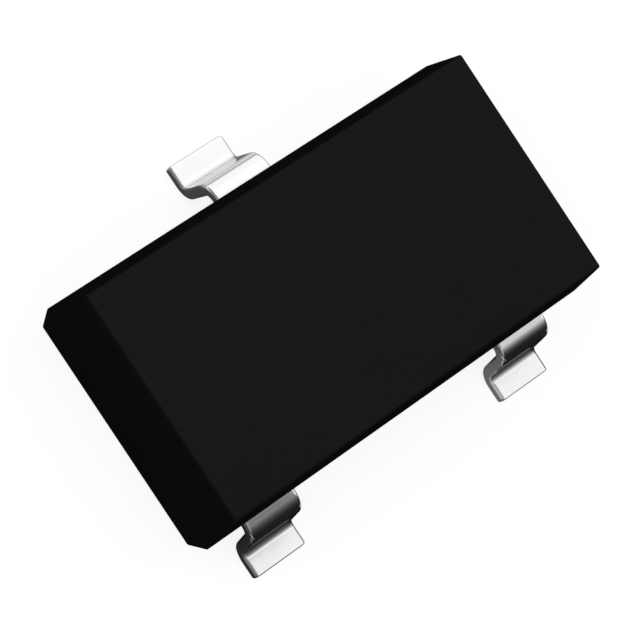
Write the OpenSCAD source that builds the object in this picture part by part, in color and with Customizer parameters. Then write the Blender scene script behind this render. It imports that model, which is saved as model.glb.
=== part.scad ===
// Three-lead surface-mount protection diode array: a moulded body with drafted sides,
// three formed gull-wing leads, and the chip and bond wires that are sealed inside.
// Millimetres. +X runs along the body, +Z is up, and the origin lies on the board
// under the middle of the body.

/* [Moulded body] */
// Length of the body at its parting line
body_l = 2.80; // [2.7:0.05:3.1]
// Width of the body at its parting line
body_w = 1.60; // [1.5:0.05:1.9]
// Height of the upper half, from the parting line to the top face
upper_h = 0.54; // [0.5:0.02:0.7]
// Height of the lower half, from the bottom face to the parting line
lower_h = 0.40; // [0.36:0.02:0.5]
// Gap between the body and the board
stand_off = 0.04; // [0.02:0.01:0.1]
// Draft of the two end faces, in degrees
end_draft = 6; // [3:0.5:10]
// Draft of the two long faces, in degrees
side_draft = 7.5; // [3:0.5:10]
// Radius along the edges of the top and bottom faces
body_edge_r = 0.02; // [0.01:0.005:0.05]

/* [Formed leads] */
// Distance between the two leads on the same side
outer_pitch = 1.90; // [1.8:0.05:2]
// Width of each of those two leads
lead_w = 0.37; // [0.3:0.01:0.44]
// Width of the single lead on the other side
common_lead_w = 0.40; // [0.3:0.01:0.5]
// Thickness of the lead strip
lead_t = 0.08; // [0.07:0.01:0.12]
// Straight run between the body and the upper bend
shoulder_run = 0.005; // [0.005:0.005:0.2]
// Inside radius of the upper bend
shoulder_r = 0.05; // [0.03:0.005:0.08]
// Inside radius of the lower bend, at the heel
heel_r = 0.045; // [0.03:0.005:0.08]
// Lean of the riser between the bends, from upright, in degrees
riser_lean = 9; // [0:1:20]
// Length of the flat foot, from the heel bend to the toe
foot_l = 0.115; // [0.08:0.005:0.4]
// Radius of the toe's corners, seen from above
toe_corner_r = 0.015; // [0.01:0.005:0.08]

/* [Lead frame inside the body] */
// Compound between the chip paddle and each long side of the body
side_cover = 0.36; // [0.3:0.02:0.5]
// Gap between the paddle and each bond post
frame_gap = 0.15; // [0.1:0.01:0.2]
// Width of each bond post, along the body
post_w = 0.46; // [0.45:0.01:0.5]
// Length of each bond post, across the body
post_l = 0.36; // [0.3:0.02:0.42]
// Compound between each bond post and the long side of the body
post_cover = 0.16; // [0.14:0.01:0.2]
// Radius of the paddle's and the posts' corners
frame_corner_r = 0.05; // [0.02:0.01:0.08]
// Radius of the half-round notches that lock each lead in the compound
lock_r = 0.04; // [0.02:0.005:0.05]

/* [Chip] */
// Side of the square chip
die_w = 0.56; // [0.4:0.02:0.7]
// Thickness of the chip
die_t = 0.15; // [0.1:0.01:0.2]
// Thickness of the adhesive under the chip
attach_t = 0.02; // [0.01:0.005:0.03]
// How far the adhesive shows round the chip
attach_margin = 0.02; // [0.01:0.005:0.05]
// Distance between the centres of the chip's two contacts
contact_pitch = 0.28; // [0.2:0.02:0.3]
// Side of each square contact
contact_w = 0.16; // [0.12:0.01:0.18]
// Height of the contact metal above the chip
contact_t = 0.005; // [0.003:0.001:0.01]

/* [Bond wires] */
// Diameter of the wire
wire_d = 0.04; // [0.025:0.005:0.05]
// Diameter of the ball at the chip
ball_d = 0.10; // [0.08:0.01:0.12]
// Height of the ball
ball_h = 0.03; // [0.02:0.005:0.04]
// Radius of the bend above the ball
loop_r = 0.06; // [0.04:0.01:0.08]
// Radius of the bend above the post
landing_r = 0.10; // [0.06:0.01:0.12]
// Slope of the wire's long run, in degrees
wire_fall = 24; // [22:1:26]
// Length that lies flat on the post
tail_l = 0.05; // [0.03:0.01:0.08]
// Diameter of the flattened end on the post
stitch_d = 0.08; // [0.06:0.01:0.1]
// Thickness of the flattened end
stitch_t = 0.012; // [0.008:0.002:0.016]

/* [Hidden] */
$fn = 48;
// How far a shape that only trims runs past the solid that it trims
trim_past = 1;

// Levels above the board
bottom_z = stand_off;
parting_z = bottom_z + lower_h;
top_z = parting_z + upper_h;
lead_top_z = parting_z;
lead_mid_z = lead_top_z - lead_t / 2;
die_z = lead_top_z + attach_t;
die_top_z = die_z + die_t;
ball_z = die_top_z + contact_t;

// Half sizes of the body's top and bottom faces
top_x = body_l / 2 - upper_h * tan(end_draft);
top_y = body_w / 2 - upper_h * tan(side_draft);
bottom_x = body_l / 2 - lower_h * tan(end_draft);
bottom_y = body_w / 2 - lower_h * tan(side_draft);

// Centre line of a formed lead, in the plane across the body
bend_turn = 90 - riser_lean;
shoulder_c = shoulder_r + lead_t / 2;
heel_c = heel_r + lead_t / 2;
bend_u = body_w / 2 + shoulder_run;
riser_rise = lead_mid_z - lead_t / 2 - (shoulder_c + heel_c) * (1 - cos(bend_turn));
riser_foot_u = bend_u + shoulder_c * sin(bend_turn) + riser_rise / tan(bend_turn);
foot_u = riser_foot_u + heel_c * sin(bend_turn);
toe_u = foot_u + foot_l;

// Paddle and posts of the lead frame, and how far each strip runs into its plate
paddle_x = outer_pitch / 2 - post_w / 2 - frame_gap;
paddle_y = body_w / 2 - side_cover;
post_outer_y = body_w / 2 - post_cover;
post_inner_y = post_outer_y - post_l;
post_mid_y = (post_outer_y + post_inner_y) / 2;
neck_overlap = lead_t / 4;

// Route of a bond wire: straight up from the ball, over, down and flat on the post
wire_from = [contact_pitch / 2, 0];
wire_to = [outer_pitch / 2, -post_mid_y];
wire_way = wire_to - wire_from;
wire_span = norm(wire_way);
wire_turn = atan2(wire_way[1], wire_way[0]);
wire_base_z = ball_z + ball_h / 2;
wire_rest_z = lead_top_z + wire_d / 4;
run_l = (wire_span - tail_l - loop_r * (1 + sin(wire_fall)) - landing_r * sin(wire_fall)) / cos(wire_fall);
loop_z = wire_rest_z - loop_r * cos(wire_fall) + run_l * sin(wire_fall)
  + landing_r * (1 - cos(wire_fall));
run_start = [loop_r * (1 + sin(wire_fall)), loop_z + loop_r * cos(wire_fall)];

function unit(v) = v / norm(v);

// Half of the angle at corner i of outline p
function half_angle(p, i) =
  let (n = len(p), a = unit(p[(i + n - 1) % n] - p[i]), b = unit(p[(i + 1) % n] - p[i]))
  acos(a * b) / 2;

// Point on the edge from corner i towards corner j, where a fillet of radius r ends
function fillet_end(p, i, j, r) = p[i] + unit(p[j] - p[i]) * r / tan(half_angle(p, i));

// Centre of that fillet
function fillet_centre(p, i, r) =
  let (n = len(p), a = unit(p[(i + n - 1) % n] - p[i]), b = unit(p[(i + 1) % n] - p[i]))
  p[i] + unit(a + b) * r / sin(half_angle(p, i));

// Outline p with a true arc at each corner i: of radius r[i] at a corner that points
// outwards, and -r[i] at one that points inwards
module rounded(p, r) {
  n = len(p);
  difference() {
    union() {
      polygon([for (i = [0:n - 1]) each r[i] == 0 ? [p[i]]
        : [fillet_end(p, i, (i + n - 1) % n, abs(r[i])), fillet_end(p, i, (i + 1) % n, abs(r[i]))]]);
      for (i = [0:n - 1]) if (r[i] > 0) translate(fillet_centre(p, i, r[i])) circle(r[i]);
    }
    for (i = [0:n - 1]) if (r[i] < 0) translate(fillet_centre(p, i, -r[i])) circle(-r[i]);
  }
}

// Rectangle from low to high corner, with the same radius at each corner
module rounded_rectangle(low, high, r) {
  rounded([low, [high[0], low[1]], high, [low[0], high[1]]], [r, r, r, r]);
}

// Outline of the body from one side: drafted up and down from the parting line
module drafted_outline(bottom_half, parting_half, top_half) {
  e = body_edge_r;
  rounded(
    [[-bottom_half, bottom_z], [bottom_half, bottom_z], [parting_half, parting_z],
     [top_half, top_z], [-top_half, top_z], [-parting_half, parting_z]],
    [e, e, 0, e, e, 0]
  );
}

// The body's outside: where the outline seen from the front meets the one seen from the end
module body_shell() {
  intersection() {
    rotate([90, 0, 0]) linear_extrude(body_w + trim_past, center = true)
      drafted_outline(bottom_x, body_l / 2, top_x);
    rotate([90, 0, 90]) linear_extrude(body_l + trim_past, center = true)
      drafted_outline(bottom_y, body_w / 2, top_y);
  }
}

// Everything below one face of the bent strip: its upper face at depth 0, and its
// underside at a depth of the strip's thickness
module below_strip(depth) {
  outside_r = shoulder_r + lead_t - depth;
  inside_r = heel_r + depth;
  corner = tan(bend_turn / 2);
  rounded(
    [[bend_u - trim_past, -trim_past], [bend_u - trim_past, lead_top_z - depth],
     [bend_u + outside_r * corner, lead_top_z - depth], [foot_u - inside_r * corner, lead_t - depth],
     [foot_u + trim_past, lead_t - depth], [foot_u + trim_past, -trim_past]],
    [0, 0, outside_r, -inside_r, 0, 0]
  );
}

// The formed strip from u_start, inside the body, to the toe: where its side outline
// meets its plan. It lies in the plane of x, outwards, and y, upwards, with its width
// along z.
module formed_strip(w, u_start) {
  intersection() {
    linear_extrude(w, center = true) difference() {
      below_strip(0);
      below_strip(lead_t);
    }
    rotate([90, 0, 0]) linear_extrude(2 * trim_past, center = true)
      rounded([[u_start, -w / 2], [toe_u, -w / 2], [toe_u, w / 2], [u_start, w / 2]],
        [0, toe_corner_r, toe_corner_r, 0]);
  }
}

// Turns the plane of a formed lead upright, so that it runs out along +Y
module upright() {
  rotate([90, 0, 90]) children();
}

// Flat piece of the lead frame, as thick as the strip
module frame_plate() {
  translate([0, 0, lead_top_z - lead_t]) linear_extrude(lead_t) children();
}

// One of the two leads on the same side, running out along +Y, with its bond post
module post_lead() {
  upright() formed_strip(lead_w, post_outer_y - neck_overlap);
  frame_plate() difference() {
    rounded_rectangle([-post_w / 2, post_inner_y], [post_w / 2, post_outer_y], frame_corner_r);
    for (side = [-1, 1]) translate([side * post_w / 2, post_mid_y]) circle(lock_r);
  }
}

// The single lead, running out along +Y, with the paddle that carries the chip
module paddle_lead() {
  upright() formed_strip(common_lead_w, paddle_y - neck_overlap);
  frame_plate() difference() {
    rounded_rectangle([-paddle_x, -paddle_y], [paddle_x, paddle_y], frame_corner_r);
    for (side = [-1, 1]) translate([side * paddle_x, 0]) circle(lock_r);
  }
}

// Round wire, straight for length l along +x
module straight_wire(l) {
  rotate([0, 90, 0]) cylinder(d = wire_d, h = l);
}

// Round wire bent to radius r, from angle a through b more degrees
module bent_wire(r, a, b) {
  rotate([0, 0, a]) rotate_extrude(angle = b) translate([r, 0]) circle(d = wire_d);
}

// Ball that joins the wire to the chip, with a round rim
module bond_ball() {
  cylinder(d = ball_d - ball_h, h = ball_h);
  translate([0, 0, ball_h / 2]) rotate_extrude() translate([(ball_d - ball_h) / 2, 0])
    circle(d = ball_h);
}

// One bond wire, from the chip's contact to a post on the -Y side, towards +X
module bond_wire() {
  translate([wire_from[0], wire_from[1], ball_z]) bond_ball();
  translate([wire_from[0], wire_from[1], wire_base_z])
    cylinder(d = wire_d, h = loop_z - wire_base_z);
  intersection() {
    translate([wire_from[0], wire_from[1], 0]) rotate([0, 0, wire_turn]) {
      rotate([90, 0, 0]) {
        translate([loop_r, loop_z]) bent_wire(loop_r, 90 - wire_fall, 90 + wire_fall);
        translate(run_start) rotate([0, 0, -wire_fall]) straight_wire(run_l);
        translate([wire_span - tail_l, wire_rest_z + landing_r])
          bent_wire(landing_r, 270 - wire_fall, wire_fall);
        translate([wire_span - tail_l, wire_rest_z]) straight_wire(tail_l);
      }
      translate([wire_span, 0, lead_top_z]) cylinder(d = stitch_d, h = stitch_t);
    }
    // The wire is pressed flat where it meets the post
    translate([0, -body_w, lead_top_z]) cube([body_l, 2 * body_w, upper_h]);
  }
}

module lead_1() {
  color("gainsboro") translate([-outer_pitch / 2, 0, 0]) rotate([0, 0, 180]) post_lead();
}

module lead_2() {
  color("gainsboro") translate([outer_pitch / 2, 0, 0]) rotate([0, 0, 180]) post_lead();
}

module lead_3() {
  color("gainsboro") paddle_lead();
}

module die_attach() {
  h = die_w / 2 + attach_margin;
  color("silver") translate([0, 0, lead_top_z]) linear_extrude(attach_t)
    rounded_rectangle([-h, -h], [h, h], attach_margin);
}

module tvs_die() {
  color("slategray") {
    translate([-die_w / 2, -die_w / 2, die_z]) cube([die_w, die_w, die_t]);
    for (side = [-1, 1])
      translate([side * contact_pitch / 2 - contact_w / 2, -contact_w / 2, die_top_z])
        cube([contact_w, contact_w, contact_t]);
  }
}

module bond_wire_1() {
  color("goldenrod") mirror([1, 0, 0]) bond_wire();
}

module bond_wire_2() {
  color("goldenrod") bond_wire();
}

// The compound fills the space round everything that it seals in
module moulded_body() {
  color([0.09, 0.09, 0.09]) difference() {
    body_shell();
    lead_1();
    lead_2();
    lead_3();
    die_attach();
    tvs_die();
    bond_wire_1();
    bond_wire_2();
  }
}

moulded_body();
lead_1();
lead_2();
lead_3();
die_attach();
tvs_die();
bond_wire_1();
bond_wire_2();
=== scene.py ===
"""Looks of a three-lead surface-mount protection diode array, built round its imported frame.

The moulded body, the three formed leads and the two bond wires are modelled here afresh, in
millimetres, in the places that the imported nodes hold. The chip and the adhesive keep their
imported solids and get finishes. Each finished piece is in metres.
"""
import logging
import math
from dataclasses import dataclass, field
from enum import Enum
from typing import Any, Callable, Dict, List, Optional, Sequence, Set, Tuple, Union

import bmesh
import bpy
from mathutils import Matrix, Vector


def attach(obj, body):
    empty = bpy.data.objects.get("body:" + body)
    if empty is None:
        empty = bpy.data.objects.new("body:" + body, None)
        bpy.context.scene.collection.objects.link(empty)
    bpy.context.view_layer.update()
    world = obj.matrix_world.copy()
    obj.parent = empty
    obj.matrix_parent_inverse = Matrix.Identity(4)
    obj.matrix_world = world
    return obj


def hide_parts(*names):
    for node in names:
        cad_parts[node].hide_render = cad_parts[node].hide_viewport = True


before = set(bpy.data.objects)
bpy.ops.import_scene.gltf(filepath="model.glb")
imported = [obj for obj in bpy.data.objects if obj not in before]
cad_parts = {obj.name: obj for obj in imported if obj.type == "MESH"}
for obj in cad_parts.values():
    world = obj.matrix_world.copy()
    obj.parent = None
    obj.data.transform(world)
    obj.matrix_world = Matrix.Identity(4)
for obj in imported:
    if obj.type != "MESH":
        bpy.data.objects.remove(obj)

LOG = logging.getLogger("diode_array")
# One millimetre in metres, and how close counts as the same place, in millimetres.
MM = 0.001
NEAR = 1e-4
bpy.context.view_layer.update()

Pair = Tuple[float, float]
Point = Tuple[float, float, float]
Colour = Tuple[float, float, float]
Sockets = Dict[Union[str, int], Any]

WHITE: Colour = (1.0, 1.0, 1.0)


class Element(Enum):
    """The kinds of mesh element that a selection works on."""

    VERTS = "VERT"
    EDGES = "EDGE"


class Row(Enum):
    """The side of the body that a row of leads comes out of, as a sign on Y."""

    FRONT = -1
    BACK = 1


class Posture(Enum):
    """How a studio card is held, as its tilt up from flat in degrees."""

    LYING = 0.0
    STANDING = 90.0


class BackdropRay(Enum):
    """Light-path outputs for the rays that see the backdrop itself."""

    CAMERA = "Is Camera Ray"
    GLOSSY = "Is Glossy Ray"
    TRANSMISSION = "Is Transmission Ray"


# Shader graphs


class Signal:
    """A shader socket that Python arithmetic acts on through Math nodes."""

    def __init__(self, graph: "Graph", socket: bpy.types.NodeSocket) -> None:
        """Wraps one output socket.

        Args:
            graph: The graph that the socket belongs to.
            socket: The output socket.
        """
        self.graph = graph
        self.socket = socket

    def _math(self, operation: str, *values: Any) -> "Signal":
        """Adds a Math node on this graph.

        Args:
            operation: What the node works out.
            values: Its numbers and signals, in order.

        Returns:
            The node's result.
        """
        inputs = dict(enumerate(values))
        return self.graph.add("ShaderNodeMath", {"operation": operation}, inputs)["Value"]

    def __add__(self, other: Any) -> "Signal":
        """Sum."""
        return self._math("ADD", self, other)

    def __radd__(self, other: Any) -> "Signal":
        """Sum with a number on the left."""
        return self._math("ADD", other, self)

    def __sub__(self, other: Any) -> "Signal":
        """Difference."""
        return self._math("SUBTRACT", self, other)

    def __rsub__(self, other: Any) -> "Signal":
        """Difference from a number on the left."""
        return self._math("SUBTRACT", other, self)

    def __mul__(self, other: Any) -> "Signal":
        """Product."""
        return self._math("MULTIPLY", self, other)

    def __rmul__(self, other: Any) -> "Signal":
        """Product with a number on the left."""
        return self._math("MULTIPLY", other, self)

    def __abs__(self) -> "Signal":
        """Size without its sign."""
        return self._math("ABSOLUTE", self)

    def at_least(self, other: Any) -> "Signal":
        """The larger of this and another value."""
        return self._math("MAXIMUM", self, other)

    def between(self, ends: Pair) -> "Signal":
        """The value that is this share of the way from the first number to the second."""
        return ends[0] + (ends[1] - ends[0]) * self

    def ramp(self, start: float, end: float) -> "Signal":
        """Rises smoothly from 0 at one value to 1 at another.

        Args:
            start: Value that gives 0.
            end: Value that gives 1.

        Returns:
            The share between them, held at 0 and 1 outside.
        """
        return self.graph.add(
            "ShaderNodeMapRange",
            {"interpolation_type": "SMOOTHSTEP"},
            {"Value": self, "From Min": start, "From Max": end},
        )["Result"]


class Outputs:
    """The output sockets of one node, by name or number."""

    def __init__(self, graph: "Graph", node: bpy.types.Node) -> None:
        """Keeps the node and its graph.

        Args:
            graph: The graph that the node belongs to.
            node: The node.
        """
        self.graph = graph
        self.node = node

    def __getitem__(self, key: Union[str, int]) -> Signal:
        """One output as a signal."""
        return Signal(self.graph, self.node.outputs[key])


class Graph:
    """A node tree that is written from an empty start."""

    def __init__(self, tree: bpy.types.NodeTree) -> None:
        """Clears the tree.

        Args:
            tree: Node tree of a material or a world.
        """
        self.tree = tree
        tree.nodes.clear()

    def add(
        self,
        kind: str,
        settings: Optional[Dict[str, Any]] = None,
        inputs: Optional[Sockets] = None,
    ) -> Outputs:
        """Adds a node.

        Args:
            kind: The node's type.
            settings: Its settings, which are set before its sockets.
            inputs: A value or a signal for each socket, by name or number.

        Returns:
            The node's outputs.
        """
        node = self.tree.nodes.new(kind)
        for key, value in (settings or {}).items():
            setattr(node, key, value)
        for key, value in (inputs or {}).items():
            if isinstance(value, Signal):
                self.tree.links.new(value.socket, node.inputs[key])
            else:
                node.inputs[key].default_value = value
        return Outputs(self, node)

    def blend(self, share: Signal, low: Any, high: Any) -> Signal:
        """Mixes two colours.

        Args:
            share: 0 gives the first colour, and 1 the second.
            low: The first colour or signal.
            high: The second colour or signal.

        Returns:
            The mixed colour.
        """
        values = {"Factor": share, 6: opaque(low), 7: opaque(high)}
        return self.add("ShaderNodeMix", {"data_type": "RGBA"}, values)[2]

    def object_place(self) -> Signal:
        """Object coordinates, in the object's own units."""
        return self.add("ShaderNodeTexCoord")["Object"]

    def place_mm(self) -> Signal:
        """Object coordinates, in millimetres."""
        values = {0: self.object_place(), "Scale": 1 / MM}
        return self.add("ShaderNodeVectorMath", {"operation": "SCALE"}, values)[0]

    def axes(self, place: Signal) -> Tuple[Signal, Signal, Signal]:
        """A vector's three parts."""
        parts = self.add("ShaderNodeSeparateXYZ", None, {0: place})
        return parts[0], parts[1], parts[2]

    def noise(self, place: Signal, grain_mm: float, layers: float) -> Signal:
        """Smooth noise from 0 to 1.

        Args:
            place: Position in millimetres.
            grain_mm: Rough size of one spot.
            layers: Number of finer layers.

        Returns:
            The noise value.
        """
        values = {"Vector": place, "Scale": 1 / grain_mm, "Detail": layers}
        return self.add("ShaderNodeTexNoise", None, values)[0]

    def bump(self, height: Signal, depth_mm: float, strength: float) -> Signal:
        """A normal that follows a height.

        Args:
            height: Height from 0 to 1.
            depth_mm: What a height of 1 stands for.
            strength: How much of it shows.

        Returns:
            The bumped normal.
        """
        values = {"Height": height, "Distance": depth_mm * MM, "Strength": strength}
        return self.add("ShaderNodeBump", None, values)["Normal"]

    def end(self, kind: str, surface: Outputs) -> None:
        """Joins a shader to the tree's output.

        Args:
            kind: The output node's type.
            surface: The shader node's outputs.
        """
        self.add(kind, None, {"Surface": surface[0]})


def grey(shade: float) -> Colour:
    """A neutral colour."""
    return (shade, shade, shade)


def dimmed(colour: Colour, share: float) -> Colour:
    """A colour at a share of its brightness."""
    return (colour[0] * share, colour[1] * share, colour[2] * share)


def opaque(colour: Any) -> Any:
    """Adds full alpha to a plain colour, and leaves a signal as it is."""
    return colour if isinstance(colour, Signal) else (*colour, 1.0)


def new_material(name: str) -> Tuple[bpy.types.Material, Graph]:
    """Makes an empty node material.

    Args:
        name: Name of the material.

    Returns:
        The material and its graph.
    """
    material = bpy.data.materials.new(name)
    material.use_nodes = True
    return material, Graph(material.node_tree)


class Finish:
    """A finish that one Principled shader shows."""

    def sockets(self, graph: Graph, place: Signal) -> Sockets:
        """What goes into the shader's sockets.

        Args:
            graph: The material's graph.
            place: Object coordinates in millimetres.

        Returns:
            The value or signal of each socket that is set.
        """
        raise NotImplementedError

    def make(self, name: str) -> bpy.types.Material:
        """Builds the material.

        Args:
            name: Name of the material.

        Returns:
            The material.
        """
        material, graph = new_material(name)
        sockets = self.sockets(graph, graph.place_mm())
        graph.end("ShaderNodeOutputMaterial", graph.add("ShaderNodeBsdfPrincipled", None, sockets))
        return material


@dataclass(frozen=True)
class MouldingCompound(Finish):
    """Black epoxy compound: eroded, matt sides and a satin top face. Millimetres.

    Attributes:
        shade: Middle tone, which the clouds lighten and darken by the share mottle.
        blue: Blue of the lighter tone, against its red and green.
        cloud_share: Weight of the clouds in the tone, against the grain.
        satin_fade: Heights from the top face at which its satin coat starts and is full.
    """

    top_z: float = 0.98
    shade: float = 0.0048
    mottle: float = 0.14
    blue: float = 1.01
    cloud_mm: float = 0.35
    cloud_layers: float = 4.0
    cloud_share: float = 0.7
    grain_mm: float = 0.022
    grain_layers: float = 2.0
    grain_depth_mm: float = 0.0016
    grain_strength: float = 0.35
    roughness: Pair = (0.55, 0.68)
    specular: float = 0.0
    satin: float = 0.12
    satin_roughness: float = 0.36
    satin_fade: Pair = (-0.012, -0.001)

    def sockets(self, graph: Graph, place: Signal) -> Sockets:
        """The compound, clouded and grained.

        Args:
            graph: The material's graph.
            place: Object coordinates in millimetres.

        Returns:
            The value or signal of each socket that is set.
        """
        grain = graph.noise(place, self.grain_mm, self.grain_layers)
        cloud = graph.noise(place, self.cloud_mm, self.cloud_layers)
        dark, light = self.shade * (1 - self.mottle), self.shade * (1 + self.mottle)
        share = self.cloud_share * cloud + (1 - self.cloud_share) * grain
        _, _, up = graph.axes(place)
        start, full = self.satin_fade
        return {
            "Base Color": graph.blend(share, grey(dark), (light, light, light * self.blue)),
            "Roughness": grain.between(self.roughness),
            "Specular IOR Level": self.specular,
            "Coat Weight": self.satin * up.ramp(self.top_z + start, self.top_z + full),
            "Coat Roughness": self.satin_roughness,
            "Normal": graph.bump(grain, self.grain_depth_mm, self.grain_strength),
        }


@dataclass(frozen=True)
class PlatedStrip(Finish):
    """Bright tin over a stamped strip, rougher and darker on its cut toe and rougher on its sides,
    with painted shade on its sides, rolled edges and riser. Millimetres.

    Attributes:
        centre_x: Middle of the lead.
        half_width: Half its width.
        toe: Where its toe ends, from the middle of the body.
        shaded_edge_tint: Tone at grazing angles, set per lead; its low values paint shade.
        patch: Share of the brightness that the duller patches keep.
        riser_shade_from: Heights between which the painted riser shade comes in.
        riser_shade_to: Heights between which it goes out.
        side_depth: Depth of the painted shade layer on the sides and rolled edges.
        toe_depth: Depth of the darker cut layer at the toe.
        fade: Share of a layer's depth over which it comes in.
        sealed: Distances along the lead between which the body ends and the painted side shade
            shows.
    """

    centre_x: float
    half_width: float
    toe: float
    shaded_edge_tint: float
    bright: Colour = (0.97, 0.97, 0.96)
    patch: float = 0.96
    grain_mm: float = 0.05
    grain_layers: float = 1.0
    polish: Pair = (0.17, 0.21)
    # Painted shade: a darker band in the riser's base colour, between the heights below.
    riser_shade: float = 0.48
    riser_shade_from: Pair = (0.19, 0.27)
    riser_shade_to: Pair = (0.30, 0.38)
    # Painted shade on the sides and rolled edges; the cut toe takes the same tone as its own.
    cut_and_side_shade: float = 0.50
    sheared_roughness: float = 0.42
    side_depth: float = 0.0035
    toe_depth: float = 0.005
    fade: float = 0.4
    sealed: Pair = (0.77, 0.79)

    def _layer(self, distance: Signal, reach: float, depth: float) -> Signal:
        """A thin layer just inside a surface.

        Args:
            distance: Distance from the middle.
            reach: Distance of the surface.
            depth: Depth of the layer.

        Returns:
            1 in the layer and 0 further in.
        """
        start = reach - depth
        return distance.ramp(start, start + self.fade * depth)

    def sockets(self, graph: Graph, place: Signal) -> Sockets:
        """The plating, with its darker cut toe and its painted side and riser shade.

        Args:
            graph: The material's graph.
            place: Object coordinates in millimetres.

        Returns:
            The value or signal of each socket that is set.
        """
        across, along, up = graph.axes(place)
        # Painted shade: a thin darker layer along the plated sides and rolled edges, joined by the
        # cut toe's own darker tone.
        side = self._layer(abs(across - self.centre_x), self.half_width, self.side_depth)
        toe = self._layer(abs(along), self.toe, self.toe_depth)
        cut_toe_and_side_shade = (side * abs(along).ramp(*self.sealed)).at_least(toe)
        grain = graph.noise(place, self.grain_mm, self.grain_layers)
        plated = graph.blend(grain, self.bright, dimmed(self.bright, self.patch))
        # Painted shade: a darker band in the riser's base colour.
        riser = up.ramp(*self.riser_shade_from) * (1 - up.ramp(*self.riser_shade_to))
        tone = graph.blend(riser, plated, grey(self.riser_shade))
        dulling = self.sheared_roughness - self.polish[1]
        return {
            "Base Color": graph.blend(cut_toe_and_side_shade, tone, grey(self.cut_and_side_shade)),
            "Metallic": 1.0,
            # Grazing tint set per lead: the front leads' low values paint shade.
            "Specular Tint": opaque(grey(self.shaded_edge_tint)),
            "Roughness": grain.between(self.polish) + cut_toe_and_side_shade * dulling,
        }


@dataclass(frozen=True)
class SilverAdhesive(Finish):
    """Cured adhesive, grey and grainy with silver flake. Millimetres.

    Attributes:
        flake_from: Noise values between which a flake comes to the surface.
        metallic: How metallic the resin and the flake are.
        roughness: How rough the resin and the flake are.
    """

    resin: Colour = (0.33, 0.32, 0.30)
    flake: Colour = (0.66, 0.65, 0.62)
    flake_mm: float = 0.012
    flake_layers: float = 4.0
    flake_from: Pair = (0.42, 0.62)
    metallic: Pair = (0.3, 0.8)
    roughness: Pair = (0.62, 0.40)
    depth_mm: float = 0.002
    strength: float = 0.6

    def sockets(self, graph: Graph, place: Signal) -> Sockets:
        """The resin with its flakes.

        Args:
            graph: The material's graph.
            place: Object coordinates in millimetres.

        Returns:
            The value or signal of each socket that is set.
        """
        flake = graph.noise(place, self.flake_mm, self.flake_layers)
        shown = flake.ramp(*self.flake_from)
        return {
            "Base Color": graph.blend(shown, self.resin, self.flake),
            "Metallic": shown.between(self.metallic),
            "Roughness": shown.between(self.roughness),
            "Normal": graph.bump(flake, self.depth_mm, self.strength),
        }


@dataclass(frozen=True)
class SiliconChip(Finish):
    """Polished silicon with sawn sides, a passivated face inside its border and bright
    contacts. Millimetres.

    Attributes:
        border: Width of the bare border round the face.
        border_fade: Width over which the passivation comes in.
        face_fade: Heights from the top face between which the polished face starts.
        contact_fade: Heights above it between which the contacts start.
        metallic: How metallic the silicon and the contacts are.
        saw_stretch: Scale of the saw marks along the height, against that across.
    """

    half_width: float = 0.28
    top_z: float = 0.61
    border: float = 0.03
    border_fade: float = 0.004
    face_fade: Pair = (-0.002, -0.001)
    contact_fade: Pair = (0.0005, 0.001)
    silicon: Colour = (0.075, 0.085, 0.105)
    passivation: Colour = (0.10, 0.20, 0.17)
    contact: Colour = (0.86, 0.86, 0.87)
    metallic: Pair = (0.35, 1.0)
    sawn_roughness: float = 0.50
    face_roughness: float = 0.18
    contact_roughness: float = 0.30
    saw_mm: float = 0.004
    saw_stretch: float = 0.1
    saw_layers: float = 2.0
    saw_depth_mm: float = 0.001
    saw_strength: float = 0.5

    def sockets(self, graph: Graph, place: Signal) -> Sockets:
        """The chip's sides, face and contacts.

        Args:
            graph: The material's graph.
            place: Object coordinates in millimetres.

        Returns:
            The value or signal of each socket that is set.
        """
        across, along, up = graph.axes(place)
        face = up.ramp(*(self.top_z + rise for rise in self.face_fade))
        contact = up.ramp(*(self.top_z + rise for rise in self.contact_fade))
        reach = abs(across).at_least(abs(along))
        inner = self.half_width - self.border
        passivated = face * (1 - reach.ramp(inner - self.border_fade, inner))
        stretch = {"Vector": place, "Scale": (1.0, 1.0, self.saw_stretch)}
        stretched = graph.add("ShaderNodeMapping", None, stretch)[0]
        saw = graph.noise(stretched, self.saw_mm, self.saw_layers)
        tone = graph.blend(passivated, self.silicon, self.passivation)
        rougher = self.contact_roughness - self.face_roughness
        return {
            "Base Color": graph.blend(contact, tone, self.contact),
            "Metallic": contact.between(self.metallic),
            "Roughness": face.between((self.sawn_roughness, self.face_roughness))
            + rougher * contact,
            "Normal": graph.bump(saw * (1 - face), self.saw_depth_mm, self.saw_strength),
        }


@dataclass(frozen=True)
class BondMetal(Finish):
    """Drawn gold wire. Millimetres.

    Attributes:
        patch: Share of the brightness that the duller patches keep.
    """

    gold: Colour = (0.94, 0.66, 0.27)
    patch: float = 0.88
    grain_mm: float = 0.008
    grain_layers: float = 2.0
    roughness: Pair = (0.20, 0.32)
    depth_mm: float = 0.0004
    strength: float = 0.3

    def sockets(self, graph: Graph, place: Signal) -> Sockets:
        """The gold and its grain.

        Args:
            graph: The material's graph.
            place: Object coordinates in millimetres.

        Returns:
            The value or signal of each socket that is set.
        """
        grain = graph.noise(place, self.grain_mm, self.grain_layers)
        return {
            "Base Color": graph.blend(grain, self.gold, dimmed(self.gold, self.patch)),
            "Metallic": 1.0,
            "Roughness": grain.between(self.roughness),
            "Normal": graph.bump(grain, self.depth_mm, self.strength),
        }


# Bench tools


@dataclass(frozen=True)
class Fold:
    """One fold line across a straight blank.

    Attributes:
        at: Distance along the blank, in millimetres.
        angle: Turn about +X, in radians, that sends the far end downwards.
    """

    at: float
    angle: float


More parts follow.
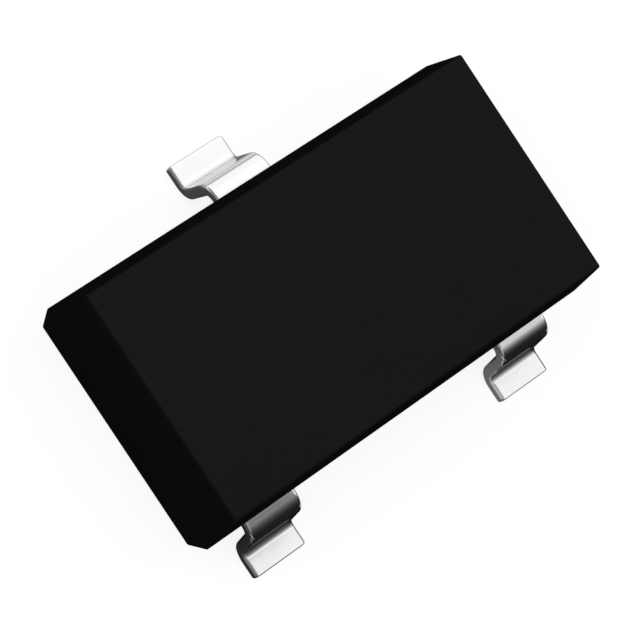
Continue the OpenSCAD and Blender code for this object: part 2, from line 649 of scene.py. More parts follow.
def bend_folds(start: float, radius: float, turn: float, steps: int) -> Tuple[List[Fold], float]:
    """Splits a smooth bend into even folds that touch its true ends.

    Args:
        start: Where the bend starts along the blank.
        radius: Radius of the blank's middle line.
        turn: Whole turn in radians, downwards where positive.
        steps: Number of folds.

    Returns:
        The folds, and where the straight part after the bend starts.
    """
    half = radius * math.tan(abs(turn) / steps / 2)
    folds = [Fold(start + half * (2 * i + 1), turn / steps) for i in range(steps)]
    return folds, start + 2 * half * steps


def rounded_by(radius: float, back: float) -> float:
    """How far a quarter-round edge has drawn in.

    Args:
        radius: Radius of the edge.
        back: Distance back from the face that it ends in.

    Returns:
        What the edge takes off there, between 0 and its radius.
    """
    if back >= radius:
        return 0.0
    return radius - math.sqrt(radius ** 2 - (radius - back) ** 2)


class Workpiece:
    """One mesh on the bench, in millimetres, with the edit-mode tools that shape it."""

    def __init__(self, obj: bpy.types.Object) -> None:
        """Takes the active object and enters its edit mode.

        Args:
            obj: A mesh object whose place is in its mesh.
        """
        self.obj = obj
        bpy.ops.object.mode_set(mode="EDIT")

    @staticmethod
    def clear_bench() -> None:
        """Leaves edit mode and deselects every object."""
        if bpy.context.object and bpy.context.object.mode == "EDIT":
            bpy.ops.object.mode_set(mode="OBJECT")
        bpy.ops.object.select_all(action="DESELECT")

    @classmethod
    def _settle(cls, name: str, size: Point) -> "Workpiece":
        """Names the new primitive, gives it its size and puts its place in its mesh.

        Args:
            name: Name of the object.
            size: Scale along each axis.

        Returns:
            The workpiece.
        """
        obj = bpy.context.active_object
        obj.name = obj.data.name = name
        obj.scale = size
        bpy.ops.object.transform_apply(location=True, rotation=True, scale=True)
        return cls(obj)

    @classmethod
    def block(cls, name: str, low: Point, high: Point) -> "Workpiece":
        """Starts from a box between two corners.

        Args:
            name: Name of the object.
            low: Its lowest corner.
            high: Its highest corner.

        Returns:
            The workpiece.
        """
        cls.clear_bench()
        middle = [(a + b) / 2 for a, b in zip(low, high)]
        bpy.ops.mesh.primitive_cube_add(size=1, location=middle)
        return cls._settle(name, tuple(b - a for a, b in zip(low, high)))

    @classmethod
    def sheet(cls, name: str, low: Pair, high: Pair, z: float) -> "Workpiece":
        """Starts from a flat rectangle at one height.

        Args:
            name: Name of the object.
            low: Its lowest corner in plan.
            high: Its highest corner in plan.
            z: Its height.

        Returns:
            The workpiece.
        """
        cls.clear_bench()
        middle = ((low[0] + high[0]) / 2, (low[1] + high[1]) / 2, z)
        bpy.ops.mesh.primitive_plane_add(size=1, location=middle)
        return cls._settle(name, (high[0] - low[0], high[1] - low[1], 1.0))

    @classmethod
    def rod(
        cls,
        name: str,
        low: Point,
        radius: float,
        length: float,
        sides: int,
        lying: bool = False,
    ) -> "Workpiece":
        """Starts from a round bar that stands on a point, or lies along +Y from it.

        Args:
            name: Name of the object.
            low: Middle of the end that it starts from.
            radius: Its radius.
            length: Its length.
            sides: Number of flats round it.
            lying: Whether it lies along +Y.

        Returns:
            The workpiece.
        """
        cls.clear_bench()
        turn = (-math.pi / 2, 0.0, 0.0) if lying else (0.0, 0.0, 0.0)
        along = Vector((0, 1, 0)) if lying else Vector((0, 0, 1))
        middle = Vector(low) + along * (length / 2)
        bpy.ops.mesh.primitive_cylinder_add(
            vertices=sides, radius=radius, depth=length, location=middle, rotation=turn)
        return cls._settle(name, (1.0, 1.0, 1.0))

    def copy(self, name: str) -> "Workpiece":
        """Makes a copy with a mesh of its own.

        Args:
            name: Name of the copy.

        Returns:
            The copy.
        """
        self.clear_bench()
        twin = self.obj.copy()
        twin.data = self.obj.data.copy()
        twin.name = twin.data.name = name
        bpy.context.scene.collection.objects.link(twin)
        self._activate(twin)
        return Workpiece(twin)

    @staticmethod
    def _activate(obj: bpy.types.Object) -> None:
        """Puts one object alone on the bench, in object mode.

        Args:
            obj: The object.
        """
        Workpiece.clear_bench()
        bpy.context.view_layer.objects.active = obj
        obj.select_set(True)

    def resume(self) -> None:
        """Takes this piece back on the bench after another one."""
        self._activate(self.obj)
        bpy.ops.object.mode_set(mode="EDIT")

    def _select(self, kind: Element, test: Callable[[Any], bool]) -> None:
        """Selects the elements that pass a test, and nothing else.

        Args:
            kind: Kind of element.
            test: What each one must pass.
        """
        bpy.ops.mesh.select_mode(type=kind.value)
        bpy.ops.mesh.select_all(action="DESELECT")
        mesh = bmesh.from_edit_mesh(self.obj.data)
        elements = mesh.verts if kind is Element.VERTS else mesh.edges
        elements.index_update()
        for element in elements:
            if test(element):
                element.select_set(True)
        bmesh.update_edit_mesh(self.obj.data)

    def pick_verts(self, test: Callable[[Vector], bool]) -> None:
        """Selects the vertices whose place passes a test."""
        self._select(Element.VERTS, lambda vert: test(vert.co))

    def pick_edges(self, test: Callable[[Vector], bool]) -> None:
        """Selects the edges both of whose ends pass a test."""
        self._select(Element.EDGES, lambda edge: all(test(end.co) for end in edge.verts))

    def pick_rising_edges(self) -> None:
        """Selects the edges whose ends differ in height."""
        self._select(Element.EDGES, lambda edge: abs(
            edge.verts[0].co.z - edge.verts[1].co.z) > NEAR)

    def pick_numbers(self, numbers: Set[int]) -> None:
        """Selects the vertices with these numbers."""
        self._select(Element.VERTS, lambda vert: vert.index in numbers)

    def pick_all(self) -> None:
        """Selects the whole piece."""
        bpy.ops.mesh.select_all(action="SELECT")

    def move(self, by: Point) -> None:
        """Moves the selection."""
        bpy.ops.transform.translate(value=by)

    def stretch(self, by: Point, centre: Point = (0.0, 0.0, 0.0)) -> None:
        """Scales the selection about a point."""
        bpy.ops.transform.resize(value=by, center_override=centre)

    def turn(self, angle: float, axis: str, centre: Point) -> None:
        """Turns the selection by the right-hand rule.

        Args:
            angle: Turn in radians.
            axis: X, Y or Z.
            centre: A point on the axis.
        """
        bpy.ops.transform.rotate(
            value=-angle, orient_axis=axis, orient_type="GLOBAL", center_override=centre)

    def extrude(self, by: Point) -> None:
        """Extrudes the selection."""
        bpy.ops.mesh.extrude_region_move(TRANSFORM_OT_translate={"value": by})

    def cut(self, point: Point, normal: Point) -> None:
        """Cuts every face with a plane, and keeps both sides."""
        self.pick_all()
        bpy.ops.mesh.bisect(plane_co=point, plane_no=normal)

    def trim_below(self, z: float) -> None:
        """Takes away what lies below a height, and closes the cut."""
        self.pick_all()
        bpy.ops.mesh.bisect(
            plane_co=(0, 0, z), plane_no=(0, 0, 1), clear_inner=True, use_fill=True)

    def round_corners(self, radius: float, steps: int) -> None:
        """Rounds the corners of a flat outline."""
        self.pick_all()
        bpy.ops.mesh.bevel(offset=radius, segments=steps, affect="VERTICES", profile=0.5)

    def round_edges(self, radius: float, steps: int) -> None:
        """Rounds the selected edges."""
        bpy.ops.mesh.bevel(
            offset=radius, segments=steps, affect="EDGES", profile=0.5, clamp_overlap=False)

    def round_sharp_edges(self, radius: float, steps: int, sharper_than: float = 50.0) -> None:
        """Rounds each edge that turns by more than an angle.

        Args:
            radius: Radius of the rounding.
            steps: Number of flats in it.
            sharper_than: The angle, in degrees.
        """
        bpy.ops.mesh.select_mode(type="EDGE")
        bpy.ops.mesh.select_all(action="DESELECT")
        bpy.ops.mesh.edges_select_sharp(sharpness=math.radians(sharper_than))
        self.round_edges(radius, steps)

    def merge(self, reach: float) -> None:
        """Merges the selected vertices that are near each other."""
        bpy.ops.mesh.remove_doubles(threshold=reach)

    def face_outwards(self) -> None:
        """Turns every face outwards."""
        self.pick_all()
        bpy.ops.mesh.normals_make_consistent(inside=False)

    def turn_all(self, angle: float, axis: str) -> None:
        """Turns the whole piece about an axis through the origin."""
        self.pick_all()
        self.turn(angle, axis, (0.0, 0.0, 0.0))

    def move_all(self, by: Point) -> None:
        """Moves the whole piece."""
        self.pick_all()
        self.move(by)

    def stretch_all(self, by: Point) -> None:
        """Scales the whole piece about the origin."""
        self.pick_all()
        self.stretch(by)

    def fold(self, folds: Sequence[Fold], z: float) -> None:
        """Cuts a straight blank across at each fold line and folds it, the far end first.

        The fold line itself takes only the first of the two half turns, so it halves the angle.

        Args:
            folds: The fold lines, along +Y.
            z: Height of the blank's middle line.
        """
        for line in folds:
            self.cut((0, line.at, 0), (0, 1, 0))
        mesh = bmesh.from_edit_mesh(self.obj.data)
        flat = [v.co.y for v in mesh.verts]
        for line in sorted(folds, key=lambda f: -f.at):
            centre = (0.0, line.at, z)
            for reach in (line.at - NEAR, line.at + NEAR):
                self.pick_numbers({number for number, y in enumerate(flat) if y > reach})
                self.turn(-line.angle / 2, "X", centre)

    def combine(self, other: "Workpiece", operation: str) -> None:
        """Joins another piece to this one, or cuts it away, and uses it up.

        Args:
            other: The second piece.
            operation: UNION or DIFFERENCE.
        """
        self._activate(self.obj)
        modifier = self.obj.modifiers.new("combine", "BOOLEAN")
        modifier.object = other.obj
        modifier.operation = operation
        modifier.solver = "EXACT"
        bpy.ops.object.modifier_apply(modifier=modifier.name)
        bpy.data.objects.remove(other.obj)
        bpy.ops.object.mode_set(mode="EDIT")

    def finish(self, material: bpy.types.Material, node: str, slot: str) -> bpy.types.Object:
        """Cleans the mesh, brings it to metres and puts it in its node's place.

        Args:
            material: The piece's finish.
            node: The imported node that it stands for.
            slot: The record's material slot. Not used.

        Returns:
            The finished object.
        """
        self.pick_all()
        self.merge(NEAR / 10)
        self.face_outwards()
        bpy.ops.object.mode_set(mode="OBJECT")
        bpy.ops.object.shade_smooth()
        modifier = self.obj.modifiers.new("even_normals", "WEIGHTED_NORMAL")
        modifier.mode = "FACE_AREA"
        modifier.weight = 100
        bpy.ops.object.modifier_apply(modifier=modifier.name)
        self.obj.scale = (MM, MM, MM)
        bpy.ops.object.transform_apply(location=True, rotation=True, scale=True)
        self.obj.data.materials.clear()
        self.obj.data.materials.append(material)
        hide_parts(node)
        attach(self.obj, "root")
        faces = len(self.obj.data.polygons)
        LOG.info("%s: %d faces, in the place of %s", self.obj.name, faces, node)
        return self.obj


# Sub-assemblies


@dataclass
class MouldedBody:
    """The moulded body, drafted up and down from its parting line. Millimetres and degrees."""

    length: float = 2.80
    width: float = 1.60
    bottom_z: float = 0.04
    parting_z: float = 0.44
    top_z: float = 0.98
    end_draft: float = 6.0
    side_draft: float = 7.5
    edge_radius: float = 0.02
    edge_steps: int = 5
    corner_radius: float = 0.012
    corner_steps: int = 3
    parting_radius: float = 0.003
    parting_steps: int = 2

    def build(self, finish: MouldingCompound) -> bpy.types.Object:
        """Builds the body.

        Args:
            finish: The compound's finish.

        Returns:
            The finished body.
        """
        half_x, half_y = self.length / 2, self.width / 2
        low, high = (-half_x, -half_y, self.bottom_z), (half_x, half_y, self.top_z)
        piece = Workpiece.block("body_shell", low, high)
        piece.cut((0, 0, self.parting_z), (0, 0, 1))
        for z in (self.top_z, self.bottom_z):
            self._draft(piece, z)
        self._round(piece)
        return piece.finish(finish.make("moulding_compound"), "moulded_body", "moulding_compound")

    def _draft(self, piece: Workpiece, z: float) -> None:
        """Draws in the outline at the top or the bottom by its draft.

        Args:
            piece: The body.
            z: Height of the face that is drawn in.
        """
        rise = abs(z - self.parting_z)
        by_x = 1 - rise * math.tan(math.radians(self.end_draft)) / (self.length / 2)
        by_y = 1 - rise * math.tan(math.radians(self.side_draft)) / (self.width / 2)
        piece.pick_verts(lambda p: abs(p.z - z) < NEAR)
        piece.stretch((by_x, by_y, 1.0))

    def _round(self, piece: Workpiece) -> None:
        """Rounds the upright corners, the rims of both flat faces and the parting line.

        Args:
            piece: The body.
        """
        piece.pick_rising_edges()
        piece.round_edges(self.corner_radius, self.corner_steps)
        for z in (self.top_z, self.bottom_z):
            piece.pick_edges(lambda p, z=z: abs(p.z - z) < NEAR)
            piece.round_edges(self.edge_radius, self.edge_steps)
            piece.pick_verts(lambda p, z=z: abs(p.z - z) < NEAR)
            piece.merge(self.corner_radius)
        piece.pick_edges(lambda p: abs(p.z - self.parting_z) < NEAR)
        piece.round_edges(self.parting_radius, self.parting_steps)


@dataclass
class Plate:
    """The flat part of a lead inside the body. Millimetres, in the lead's own plan.

    Attributes:
        inner: Where it starts along the lead, from the middle of the body.
        outer: Where it ends.
    """

    half_width: float
    inner: float
    outer: float
    corner_radius: float = 0.05
    corner_steps: int = 6
    notch_radius: float = 0.04
    notch_sides: int = 24

    @property
    def middle(self) -> float:
        """Where the locking notches are, along the lead."""
        return (self.inner + self.outer) / 2


@dataclass(frozen=True)
class LeadPlace:
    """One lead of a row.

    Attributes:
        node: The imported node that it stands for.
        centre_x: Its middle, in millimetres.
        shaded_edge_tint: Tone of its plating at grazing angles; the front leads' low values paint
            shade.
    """

    node: str
    centre_x: float
    shaded_edge_tint: float


@dataclass
class GullWingRow:
    """A row of like leads. The first is stamped flat with its plate and then formed, and the
    others are its copies. Millimetres and degrees.

    The blank is drawn along +Y and then turned to its row.

    Attributes:
        lean: How far the riser leans out from upright.
        foot: Length of the foot past the heel.
        toe_shares: Where the toe has its sections, as shares of its radius back from its end.
        reach: Where the toes end, from the middle of the body.
    """

    row: Row
    places: Sequence[LeadPlace]
    width: float
    plate: Plate
    thickness: float = 0.08
    top_z: float = 0.44
    bend_start: float = 0.805
    shoulder_radius: float = 0.05
    heel_radius: float = 0.045
    lean: float = 9.0
    foot: float = 0.115
    toe_radius: float = 0.015
    toe_edge_radius: float = 0.010
    toe_shares: Tuple[float, ...] = (1.0, 0.62, 0.36, 0.16, 0.05, 0.0)
    edge_radius: float = 0.024
    edge_steps: int = 6
    bend_steps: int = 16
    reach: float = 1.1265

    @property
    def middle_z(self) -> float:
        """Height of the strip's middle before it is formed."""
        return self.top_z - self.thickness / 2

    def build(self) -> List[bpy.types.Object]:
        """Forms the first lead, copies it for the others and seats each in its place.

        Returns:
            The finished leads.
        """
        formed = self._form(self.places[0].node)
        copies = [formed.copy(place.node + "_strip") for place in self.places[1:]]
        return [self._seat(piece, place) for piece, place in zip([formed, *copies], self.places)]

    def _seat(self, piece: Workpiece, place: LeadPlace) -> bpy.types.Object:
        """Moves a formed lead to its place in the row and plates it.

        Args:
            piece: The formed lead.
            place: Its place.

        Returns:
            The finished lead.
        """
        piece.resume()
        piece.move_all((place.centre_x, 0, 0))
        finish = PlatedStrip(place.centre_x, self.width / 2, self.reach, place.shaded_edge_tint)
        return piece.finish(finish.make("plated_" + place.node), place.node, "plated_lead")

    def _form(self, name: str) -> Workpiece:
        """Draws the strip, joins its plate, forms the lead and turns it to its row.

        Args:
            name: Name of the lead.

        Returns:
            The formed lead, at the middle of its row.
        """
        folds, end = self._folds()
        plate = self._stamp_plate(name)
        piece = self._draw_strip(name, self.plate.outer - self.plate.corner_radius, end)
        piece.combine(plate, "UNION")
        piece.fold(folds, self.middle_z)
        if self.row is Row.FRONT:
            piece.turn_all(math.pi, "Z")
        return piece

    def _folds(self) -> Tuple[List[Fold], float]:
        """Works out the fold lines from the lead's sizes.

        Returns:
            The folds of both bends, and the blank's full length from the origin.
        """
        turn = math.radians(90 - self.lean)
        shoulder = self.shoulder_radius + self.thickness / 2
        heel = self.heel_radius + self.thickness / 2
        drop = self.middle_z - self.thickness / 2 - (shoulder + heel) * (1 - math.cos(turn))
        down, riser_start = bend_folds(self.bend_start, shoulder, turn, self.bend_steps)
        heel_start = riser_start + drop / math.sin(turn)
        up, foot_start = bend_folds(heel_start, heel, -turn, self.bend_steps)
        return down + up, foot_start + self.foot

    def _draw_strip(self, name: str, start: float, end: float) -> Workpiece:
        """Draws the strip along +Y from its rounded section, and narrows it round the toe.

        Args:
            name: Name of the lead.
            start: Where the strip starts.
            end: Where its toe ends.

        Returns:
            The straight strip.
        """
        half, deep = self.width / 2, self.thickness / 2
        piece = Workpiece.sheet(name + "_strip", (-half, -deep), (half, deep), 0.0)
        piece.round_corners(self.edge_radius, self.edge_steps)
        piece.turn_all(math.pi / 2, "X")
        piece.move_all((0, start, self.middle_z))
        reach, wide, thick = start, half, deep
        for share in self.toe_shares:
            back = share * self.toe_radius
            new_wide = half - rounded_by(self.toe_radius, back)
            new_thick = deep - rounded_by(self.toe_edge_radius, back)
            piece.extrude((0, end - back - reach, 0))
            piece.stretch(
                (new_wide / wide, 1.0, new_thick / thick), (0.0, end - back, self.middle_z))
            reach, wide, thick = end - back, new_wide, new_thick
        piece.face_outwards()
        return piece

    def _stamp_plate(self, name: str) -> Workpiece:
        """Stamps the plate with its locking notches.

        Args:
            name: Name of the lead.

        Returns:
            The plate.
        """
        plate, low = self.plate, self.top_z - self.thickness
        corners = (-plate.half_width, plate.inner), (plate.half_width, plate.outer)
        piece = Workpiece.sheet(name + "_plate", *corners, low)
        piece.round_corners(plate.corner_radius, plate.corner_steps)
        piece.extrude((0, 0, self.thickness))
        piece.face_outwards()
        for side in (-plate.half_width, plate.half_width):
            start = (side, plate.middle, low - self.thickness)
            punch = Workpiece.rod(
                "punch", start, plate.notch_radius, 3 * self.thickness, plate.notch_sides)
            piece.combine(punch, "DIFFERENCE")
        return piece


@dataclass
class BondWires:
    """The wires from the chip's two contacts to the bond posts, of which one is modelled and
    the other is its mirrored copy. Millimetres and degrees.

    A wire is drawn straight along +Y, folded, pressed, and then turned to its place.

    Attributes:
        start: Middle of the contact on the +X side, in plan.
        end: Middle of the stitch on the post there.
        fall: How steeply the wire runs down from its loop.
        tail: Length of the flat end past the landing.
        ball_rounding: Radius of the ball's edges, as a share of its height.
        stitch_rounding: Radius of the stitch's edges, as a share of its thickness.
    """

    start: Pair = (0.14, 0.0)
    end: Pair = (0.95, -0.46)
    ball_z: float = 0.615
    post_z: float = 0.44
    diameter: float = 0.04
    loop_radius: float = 0.06
    landing_radius: float = 0.10
    fall: float = 24.0
    tail: float = 0.05
    sides: int = 20
    bend_steps: int = 12
    ball_diameter: float = 0.10
    ball_height: float = 0.03
    ball_rounding: float = 0.49
    ball_steps: int = 5
    stitch_diameter: float = 0.08
    stitch_thickness: float = 0.012
    stitch_rounding: float = 0.3
    stitch_steps: int = 3
    end_sides: int = 32

    def build(self, finish: BondMetal) -> List[bpy.types.Object]:
        """Forms one wire, copies it and finishes both.

        Args:
            finish: The wires' finish.

        Returns:
            The finished wires.
        """
        left = self._form("bond_wire_1_drawn")
        right = left.copy("bond_wire_2_drawn")
        wires = []
        for piece, node, mirror in ((left, "bond_wire_1", -1.0), (right, "bond_wire_2", 1.0)):
            piece.resume()
            piece.stretch_all((mirror, 1.0, 1.0))
            wires.append(piece.finish(finish.make("metal_" + node), node, "bond_metal"))
        return wires

    def _form(self, name: str) -> Workpiece:
        """Draws, folds and presses a wire, joins its ends and turns it to its place.

        Args:
            name: Name of the wire.

        Returns:
            The wire on the +X side.
        """
        way = Vector(self.end) - Vector(self.start)
        base = self.ball_z + self.ball_height / 2
        folds, length = self._folds(way.length, base)
        piece = Workpiece.rod(name, (0, 0, 0), self.diameter / 2, length, self.sides, lying=True)
        piece.fold(folds, 0.0)
        piece.turn_all(math.pi / 2, "X")
        piece.move_all((0, 0, base))
        piece.trim_below(self.post_z)
        self._join_ends(piece, way.length)
        piece.turn_all(math.atan2(way.y, way.x) - math.pi / 2, "Z")
        piece.move_all((*self.start, 0))
        return piece

    def _folds(self, span: float, base: float) -> Tuple[List[Fold], float]:
        """Works out the fold lines from where the wire starts and lands.

        Args:
            span: Distance from the contact to the post, in plan.
            base: Height at which the wire leaves its ball.

        Returns:
            The folds of the loop and the landing, and the length of the straight wire.
        """
        fall, rest = math.radians(self.fall), self.post_z + self.diameter / 4
        sine, cosine = math.sin(fall), math.cos(fall)
        level = span - self.tail - self.loop_radius * (1 + sine) - self.landing_radius * sine
        run = level / cosine
        drop = run * sine + self.landing_radius * (1 - cosine)
        rise = rest - self.loop_radius * cosine + drop - base
        over, run_start = bend_folds(
            rise, self.loop_radius, math.pi / 2 + fall, self.bend_steps)
        down, tail_start = bend_folds(
            run_start + run, self.landing_radius, -fall, self.bend_steps // 2)
        return over + down, tail_start + self.tail

    def _join_ends(self, piece: Workpiece, span: float) -> None:
        """Joins the ball on the chip and the stitch on the post.

        Args:
            piece: The folded wire.
            span: Distance from the contact to the post, in plan.
        """
        ball = Workpiece.rod(
            "ball", (0, 0, self.ball_z), self.ball_diameter / 2, self.ball_height, self.end_sides)
        ball.round_sharp_edges(self.ball_height * self.ball_rounding, self.ball_steps)
        piece.combine(ball, "UNION")
        stitch = Workpiece.rod(
            "stitch", (0, span, self.post_z), self.stitch_diameter / 2, self.stitch_thickness,
            self.end_sides)
        stitch.round_sharp_edges(self.stitch_thickness * self.stitch_rounding, self.stitch_steps)
        piece.combine(stitch, "UNION")


# Studio


@dataclass
class Lamp:
    """A soft rectangular lamp, aimed at the object and unseen in its gloss. Millimetres.

    Attributes:
        level: Share of a white surface's brightness that it adds when it faces the lamp.
    """

    name: str
    place: Point
    size: Pair
    level: float

    def light(self, target: Point) -> None:
        """Puts the lamp up.

        Args:
            target: What it is aimed at.
        """
        data = bpy.data.lights.new(self.name, "AREA")
        data.shape = "RECTANGLE"
        data.size, data.size_y = self.size[0] * MM, self.size[1] * MM
        offset = Vector(self.place) - Vector(target)
        data.energy = self.level * (math.pi * offset.length * MM) ** 2
        lamp = bpy.data.objects.new(self.name, data)
        bpy.context.scene.collection.objects.link(lamp)
        lamp.location = Vector(self.place) * MM
        lamp.rotation_euler = offset.to_track_quat("Z", "Y").to_euler()
        lamp.visible_glossy = lamp.visible_camera = False


@dataclass
class Card:
    """A plain or graded glowing card of the studio, which only glossy surfaces see. It paints
    reflections, and shade where it is dark. Millimetres.

    Attributes:
        place: Its middle.
        size: Its width and its height, or its width and depth where it lies.
        shades: One shade, or those of its low and its high edge.
        heading: Turn about Z in degrees. At 0 its low edge runs along X.
        grading: Where the shades start and end along the height, from -0.5 to 0.5.
    """

    name: str
    posture: Posture
    place: Point
    size: Pair
    shades: Tuple[float, ...]
    heading: float = 0.0
    grading: Pair = (-0.5, 0.5)

    def hang(self) -> None:
        """Hangs the card, unseen by the camera, by shadows and by diffuse light."""
        Workpiece.clear_bench()
        turn = (math.radians(self.posture.value), 0.0, math.radians(self.heading))
        bpy.ops.mesh.primitive_plane_add(size=1, location=Vector(self.place) * MM, rotation=turn)
        card = bpy.context.active_object
        card.name = self.name
        card.scale = (self.size[0] * MM, self.size[1] * MM, 1.0)
        card.data.materials.append(self._painted_glow())
        card.visible_camera = card.visible_shadow = card.visible_diffuse = False

    def _painted_glow(self) -> bpy.types.Material:
        """Makes the card's glow, a painted reflection, graded along its height.

        Returns:
            The material.
        """
        material, graph = new_material(self.name)
        _, height, _ = graph.axes(graph.object_place())
        low, high = grey(self.shades[0]), grey(self.shades[-1])
        tone = graph.blend(height.ramp(*self.grading), low, high)
        glow = graph.add("ShaderNodeEmission", None, {"Color": tone})
        graph.end("ShaderNodeOutputMaterial", glow)
        return material


def wall_cards() -> List[Card]:
    """The glowing cards in front, at the left and above, some way off, which paint reflections.

    Returns:
        The cards.
    """
    standing, lying = Posture.STANDING, Posture.LYING
    return [
        Card("front_card", standing, (28.0, -16.0, 17.0), (64.0, 34.0), (0.12, 0.80)),
        Card("front_low", standing, (33.3, -15.9, 7.0), (53.4, 14.0), (0.18, 0.60)),
        Card("front_high", standing, (35.0, -15.9, 24.0), (50.0, 20.0), (0.60, 0.95)),
        Card("front_sky", lying, (20.0, -8.25, 34.0), (80.0, 15.5), (1.08, 0.91)),
        Card("low_card", standing, (-4.5, -16.0, 4.0), (9.0, 8.0), (0.25,)),
        Card("left_card", standing, (-7.0, 8.0, 50.0), (50.0, 100.0), (0.27, 0.33), 90.0),
        Card("left_front", standing, (-6.9, -8.5, 4.75), (17.0, 9.5), (0.05, 0.16), 90.0),
        Card("left_back", standing, (-6.9, 3.5, 1.5), (7.0, 3.0), (0.05, 0.27), 90.0),
        Card("sky_card", lying, (14.0, 16.0, 34.0), (50.0, 32.0), (1.0, 1.5)),
    ]


def lead_cards() -> List[Card]:
    """The small glowing cards at the front leads, which paint highlights and shade into the
    reflections of shoulders, heels and edges.

    Returns:
        The cards.
    """
    standing, lying = Posture.STANDING, Posture.LYING
    return [
        Card("brow_1", standing, (-0.87, -0.965, 0.5925), (0.56, 0.415), (0.010, 0.205),
             grading=(-0.47, 0.31)),
        Card("brow_2", standing, (1.06, -0.965, 0.5925), (0.62, 0.415), (0.010, 0.63),
             grading=(-0.40, 0.40)),
        Card("rim_1", standing, (-0.645, -1.06, 0.05), (0.16, 0.10), (0.10,), 90.0),
        Card("rim_2", standing, (1.255, -1.06, 0.065), (0.16, 0.13), (0.02,), 90.0),
        Card("left_rim_1", standing, (-1.255, -1.06, 0.18), (0.16, 0.24), (0.17,), 90.0),
        Card("left_rim_2", standing, (0.645, -1.06, 0.18), (0.16, 0.24), (0.45,), 90.0),
        Card("shoulder_card", lying, (-0.775, -0.925, 1.0), (0.46, 0.29), (0.16,)),
        Card("shoulder_card_2", lying, (1.22, -0.925, 1.0), (0.48, 0.29), (0.62,)),
        Card("edge_card_1", lying, (-1.265, -1.04, 1.3), (0.67, 0.52), (0.28,)),
        Card("edge_card_2", lying, (0.685, -1.04, 1.3), (0.67, 0.52), (0.30,)),
    ]


def ground_cards() -> List[Card]:
    """The dark and grey cards that lie just above the floor, which risers, sides and rolled edges
    show as painted shade in their reflections.

    Returns:
        The cards.
    """
    lying = Posture.LYING
    return [
        Card("front_ground", lying, (19.75, -10.0, 0.002), (40.5, 12.0), (0.012,)),
        Card("left_ground", lying, (-5.0, -0.5, 0.002), (7.0, 4.0), (0.08, 0.24), 90.0),
        Card("side_ground", lying, (21.5, -2.6, 0.002), (39.0, 2.8), (0.012,)),
        Card("path_1", lying, (-0.45, -2.6, 0.003), (0.9, 3.1), (0.012,), 19.1),
        Card("path_2", lying, (1.63, -2.6, 0.004), (0.9, 3.2), (0.012,), 25.6),
        Card("near_ground", lying, (0.0, -0.01, 0.002), (6.0, 2.28), (0.06,)),
        Card("corner_ground", lying, (-1.95, -2.2, 0.002), (2.0, 2.1), (0.03,)),
        Card("corner_ground_2", lying, (0.45, -2.2, 0.002), (1.1, 2.0), (0.03,)),
        Card("corner_ground_3", lying, (-1.7, 1.565, 0.003), (0.87, 3.0), (0.35, 0.06), 90.0),
        Card("crest_ground", lying, (1.6, 4.6, 0.003), (6.0, 5.0), (0.28, 0.70)),
        Card("toe_ground", lying, (0.6, 1.62, 0.003), (1.6, 0.96), (0.60, 0.84)),
        Card("ground_2", lying, (0.57, -1.0, 0.003), (0.40, 0.40), (0.33,)),
        Card("ground_3", lying, (-0.41, 0.97, 0.003), (0.41, 0.30), (0.10,)),
        Card("riser_ground", lying, (0.41, 1.0, 0.003), (0.41, 0.24), (0.22,)),
    ]


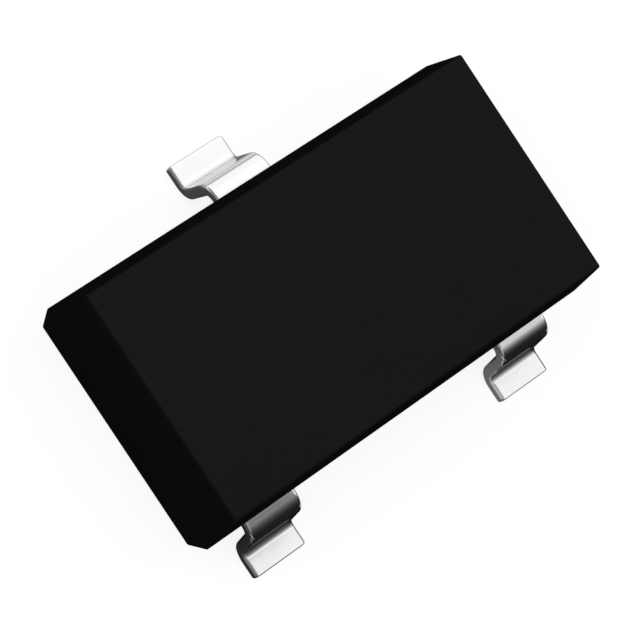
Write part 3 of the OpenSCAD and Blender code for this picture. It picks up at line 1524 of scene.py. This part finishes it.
@dataclass
class Studio:
    """Pale floor, soft lamps, cards, backdrop and camera. Millimetres.

    Attributes:
        target: What the lamps are aimed at.
        floor_shade: Shade of the floor's paper.
        floor_glow: Brightness of its white share, to the rays that see the backdrop.
        floor_white: The white share. The rest shows the object's shadow.
        fill: Strength of the surroundings as a light.
        camera_turn: The camera's turn about X, Y and Z, in degrees.
    """

    target: Point = (0.0, 0.0, 0.4)
    floor_half: float = 400.0
    floor_shade: float = 0.95
    floor_glow: float = 1.04
    floor_white: float = 0.85
    fill: float = 0.35
    focal_pixels: float = 2471.6
    picture_pixels: float = 640.0
    sensor: float = 36.0
    camera_place: Point = (-5.3605, 0.2761, 13.5639)
    camera_turn: Point = (11.3269, -18.9619, -35.6711)
    lamps: Sequence[Lamp] = (
        Lamp("key", (-10.0, 8.0, 30.0), (24.0, 24.0), 0.40),
        Lamp("top", (4.0, -1.0, 32.0), (22.0, 22.0), 0.30),
    )
    cards: List[Card] = field(
        default_factory=lambda: wall_cards() + lead_cards() + ground_cards())

    @staticmethod
    def _sees_backdrop(graph: Graph) -> Signal:
        """Tells the rays that see the backdrop from the light that it gives.

        Args:
            graph: The graph that asks.

        Returns:
            1 for the rays that see the backdrop itself, and 0 for the others.
        """
        path = graph.add("ShaderNodeLightPath")
        sees = path[BackdropRay.CAMERA.value].at_least(path[BackdropRay.GLOSSY.value])
        return sees.at_least(path[BackdropRay.TRANSMISSION.value])

    def lay_floor(self) -> None:
        """Lays the floor: white to the eye, and still shaded by the object."""
        Workpiece.clear_bench()
        bpy.ops.mesh.primitive_plane_add(size=2 * self.floor_half * MM)
        floor = bpy.context.active_object
        floor.name = "floor"
        material, graph = new_material("floor_paper")
        shade = {"Color": opaque(grey(self.floor_shade))}
        paper = graph.add("ShaderNodeBsdfDiffuse", None, shade)
        light = {"Color": opaque(WHITE), "Strength": self.floor_glow}
        white = graph.add("ShaderNodeEmission", None, light)
        share = self._sees_backdrop(graph) * self.floor_white
        mixed = graph.add("ShaderNodeMixShader", None, {0: share, 1: paper[0], 2: white[0]})
        graph.end("ShaderNodeOutputMaterial", mixed)
        floor.data.materials.append(material)

    def light_world(self) -> None:
        """Makes the surroundings white to the eye and a soft fill for the rest."""
        world = bpy.data.worlds.new("studio")
        world.use_nodes = True
        bpy.context.scene.world = world
        graph = Graph(world.node_tree)
        level = self._sees_backdrop(graph).between((self.fill, 1.0))
        light = {"Color": opaque(WHITE), "Strength": level}
        graph.end("ShaderNodeOutputWorld", graph.add("ShaderNodeBackground", None, light))

    def place_camera(self) -> None:
        """Places the camera at the photograph's viewing angle."""
        data = bpy.data.cameras.new("view")
        data.sensor_width = self.sensor
        data.lens = self.focal_pixels / self.picture_pixels * self.sensor
        data.clip_start, data.clip_end = 1 * MM, 2 * self.floor_half * MM
        camera = bpy.data.objects.new("view", data)
        bpy.context.scene.collection.objects.link(camera)
        camera.location = Vector(self.camera_place) * MM
        camera.rotation_euler = [math.radians(angle) for angle in self.camera_turn]
        bpy.context.scene.camera = camera

    def set_up(self) -> None:
        """Sets up the whole studio."""
        bpy.context.scene.view_settings.view_transform = "Standard"
        self.place_camera()
        self.lay_floor()
        self.light_world()
        for lamp in self.lamps:
            lamp.light(self.target)
        for card in self.cards:
            card.hang()
        LOG.info("studio: %d lamps, %d cards", len(self.lamps), len(self.cards))


# The whole part


def dress_node(node: str, material: bpy.types.Material) -> None:
    """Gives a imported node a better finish.

    Args:
        node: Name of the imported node.
        material: Its new finish.
    """
    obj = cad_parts[node]
    if not obj.material_slots:
        obj.data.materials.append(material)
    for slot in obj.material_slots:
        slot.material = material
    LOG.info("%s: packed solid, finished as %s", node, material.name)


def main() -> None:
    """Builds the studio and then the pieces in order."""
    logging.basicConfig(level=logging.INFO, format="%(name)s: %(message)s")
    Studio().set_up()

    MouldedBody().build(MouldingCompound())
    # The front leads' low edge tints paint shade at grazing angles onto the same tin as the back
    # lead.
    front = (
        LeadPlace("lead_1", centre_x=-0.95, shaded_edge_tint=0.05),
        LeadPlace("lead_2", centre_x=0.95, shaded_edge_tint=0.08),
    )
    back = (LeadPlace("lead_3", centre_x=0.0, shaded_edge_tint=0.86),)
    post = Plate(half_width=0.23, inner=0.28, outer=0.64)
    paddle = Plate(half_width=0.57, inner=-0.44, outer=0.44)
    GullWingRow(Row.FRONT, front, width=0.37, plate=post).build()
    GullWingRow(Row.BACK, back, width=0.40, plate=paddle).build()
    BondWires().build(BondMetal())
    dress_node("die_attach", SilverAdhesive().make("chip_adhesive"))
    dress_node("tvs_die", SiliconChip().make("silicon"))


if __name__ == "__main__":
    main()
